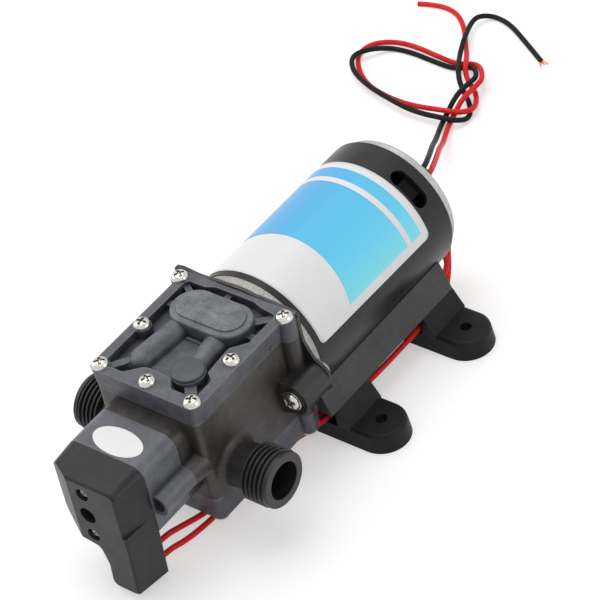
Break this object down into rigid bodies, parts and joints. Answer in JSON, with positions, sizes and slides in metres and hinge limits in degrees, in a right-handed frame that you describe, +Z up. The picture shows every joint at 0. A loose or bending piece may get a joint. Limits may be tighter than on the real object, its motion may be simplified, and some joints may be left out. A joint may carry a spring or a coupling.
{
  "type": "diaphragm water pump",
  "caption": "Compact diaphragm water pump: brushed motor, valve head with threaded side ports, pressure switch, rubber cross feet and free-ended supply leads.",
  "frame": {"origin": "middle of the four foot holes, on the mounting face", "axes": "+Y along the motor's axis from the pressure switch to the motor's rear, +X towards the outlet port, +Z up"},
  "size_m": [0.1463, 0.3181, 0.0651],
  "materials": {
    "satin_black_can": "satin",
    "cast_flange": "speckled cast, bare",
    "bright_cap": "bright",
    "ferrite": "matte",
    "bearing_steel": "ground",
    "phenolic": "matte",
    "carbon": "matte",
    "spring_steel": "drawn",
    "laminations": "stamped",
    "copper": "enamelled",
    "moulded_black": "moulded, slightly rough",
    "moulded_grey": "moulded, slightly rough",
    "moulded_dark": "moulded, satin",
    "rod_plastic": "moulded",
    "rubber_black": "soft",
    "rubber_orange": "soft",
    "nickel_screws": "nickel plated",
    "zinc_alloy": "die cast",
    "brass_tabs": "stamped",
    "bracket_plastic": "moulded, matte",
    "foot_rubber": "soft, matte",
    "black_pvc": "soft sheath",
    "red_pvc": "soft sheath",
    "bare_copper": "bare strands"
  },
  "bodies": {
    "pump": {"motor_can": "satin_black_can", "motor_front_flange": "cast_flange", "motor_end_cap": "bright_cap", "magnets": "ferrite", "front_bearing": "bearing_steel", "rear_bearing": "bearing_steel", "brush_plate": "phenolic", "upper_brush_spring": "spring_steel", "lower_brush_spring": "spring_steel", "pump_body": "moulded_black", "port_seals": "rubber_black", "top_diaphragm": "rubber_black", "bottom_diaphragm": "rubber_black", "top_valve_plate": "rod_plastic", "bottom_valve_plate": "rod_plastic", "top_cover": "moulded_grey", "bottom_cover": "moulded_grey", "top_cover_screws": "nickel_screws", "bottom_cover_screws": "nickel_screws", "head_screws": "nickel_screws", "switch_base": "moulded_grey", "switch_base_screws": "nickel_screws", "switch_diaphragm": "rubber_black", "switch_spring": "spring_steel", "micro_switch": "moulded_black", "switch_terminals": "brass_tabs", "switch_cover": "moulded_dark", "switch_cover_screws": "nickel_screws", "switch_wires": "red_pvc", "mounting_bracket": "bracket_plastic", "front_foot": "foot_rubber", "rear_foot": "foot_rubber", "foot_screws": "nickel_screws", "lead_grommet": "rubber_black", "wire_grommet": "rubber_black", "black_lead": "black_pvc", "red_lead": "red_pvc", "lead_strands": "bare_copper"},
    "rotor": {"motor_shaft": "bearing_steel", "armature_core": "laminations", "armature_windings": "copper", "commutator": "copper", "eccentric": "zinc_alloy"},
    "rod": {"connecting_rod": "rod_plastic", "rod_bearing": "bearing_steel", "piston_clamps": "rod_plastic", "piston_screws": "nickel_screws"},
    "top_inlet_valve": {"top_inlet_valve": "rubber_orange"},
    "top_outlet_valve": {"top_outlet_valve": "rubber_orange"},
    "bottom_inlet_valve": {"bottom_inlet_valve": "rubber_orange"},
    "bottom_outlet_valve": {"bottom_outlet_valve": "rubber_orange"},
    "upper_brush": {"upper_brush": "carbon"},
    "lower_brush": {"lower_brush": "carbon"},
    "spring_seat": {"spring_seat": "zinc_alloy"},
    "adjusting_screw": {"adjusting_screw": "bearing_steel"},
    "pressure_plunger": {"pressure_plunger": "rod_plastic"},
    "switch_button": {"switch_button": "rubber_orange"}
  },
  "joints": [
    {"name": "rotor_spin", "type": "hinge", "parent": "pump", "child": "rotor", "pos_m": [0, -0.0352, 0.0365], "axis": [0, 1, 0], "continuous": true, "deforming": ["top_diaphragm", "bottom_diaphragm"]},
    {"name": "rod_orbit", "type": "hinge", "parent": "rotor", "child": "rod", "pos_m": [0, -0.0542, 0.038], "axis": [0, 1, 0], "continuous": true},
    {"name": "top_inlet_valve_lift", "type": "slide", "parent": "pump", "child": "top_inlet_valve", "axis": [0, 0, -1], "range_m": [0, 0.001], "stiffness_N_per_m": 3, "springref_m": -0.0005},
    {"name": "top_outlet_valve_lift", "type": "slide", "parent": "pump", "child": "top_outlet_valve", "axis": [0, 0, 1], "range_m": [0, 0.001], "stiffness_N_per_m": 3, "springref_m": -0.0005},
    {"name": "bottom_inlet_valve_lift", "type": "slide", "parent": "pump", "child": "bottom_inlet_valve", "axis": [0, 0, 1], "range_m": [0, 0.001], "stiffness_N_per_m": 3, "springref_m": -0.0005},
    {"name": "bottom_outlet_valve_lift", "type": "slide", "parent": "pump", "child": "bottom_outlet_valve", "axis": [0, 0, -1], "range_m": [0, 0.001], "stiffness_N_per_m": 3, "springref_m": -0.0005},
    {"name": "upper_brush_slide", "type": "slide", "parent": "pump", "child": "upper_brush", "axis": [0.6626, 0, 0.749], "range_m": [0, 0.002], "stiffness_N_per_m": 20, "springref_m": -0.003, "deforming": ["upper_brush_spring"]},
    {"name": "lower_brush_slide", "type": "slide", "parent": "pump", "child": "lower_brush", "axis": [-0.6626, 0, -0.749], "range_m": [0, 0.002], "stiffness_N_per_m": 20, "springref_m": -0.003, "deforming": ["lower_brush_spring"]},
    {"name": "spring_seat_slide", "type": "slide", "parent": "pump", "child": "spring_seat", "axis": [0, 1, 0], "range_m": [0, 0.0016], "deforming": ["switch_spring"]},
    {"name": "adjust_turn", "type": "hinge", "parent": "spring_seat", "child": "adjusting_screw", "pos_m": [0, -0.1225, 0.0359], "axis": [0, 1, 0], "range_deg": [0, 720]},
    {"name": "plunger_slide", "type": "slide", "parent": "pump", "child": "pressure_plunger", "axis": [0, -1, 0], "range_m": [0, 0.0006], "stiffness_N_per_m": 40, "springref_m": -0.002, "deforming": ["switch_spring"]},
    {"name": "button_slide", "type": "slide", "parent": "pump", "child": "switch_button", "axis": [0, -1, 0], "range_m": [0, 0.0006]}
  ],
  "couplings": [
    {"joint": "rod_orbit", "follows": "rotor_spin", "ratio": -1},
    {"joint": "adjust_turn", "follows": "spring_seat_slide", "rad_per_m": 7854},
    {"joint": "button_slide", "follows": "plunger_slide", "ratio": 1}
  ]
}
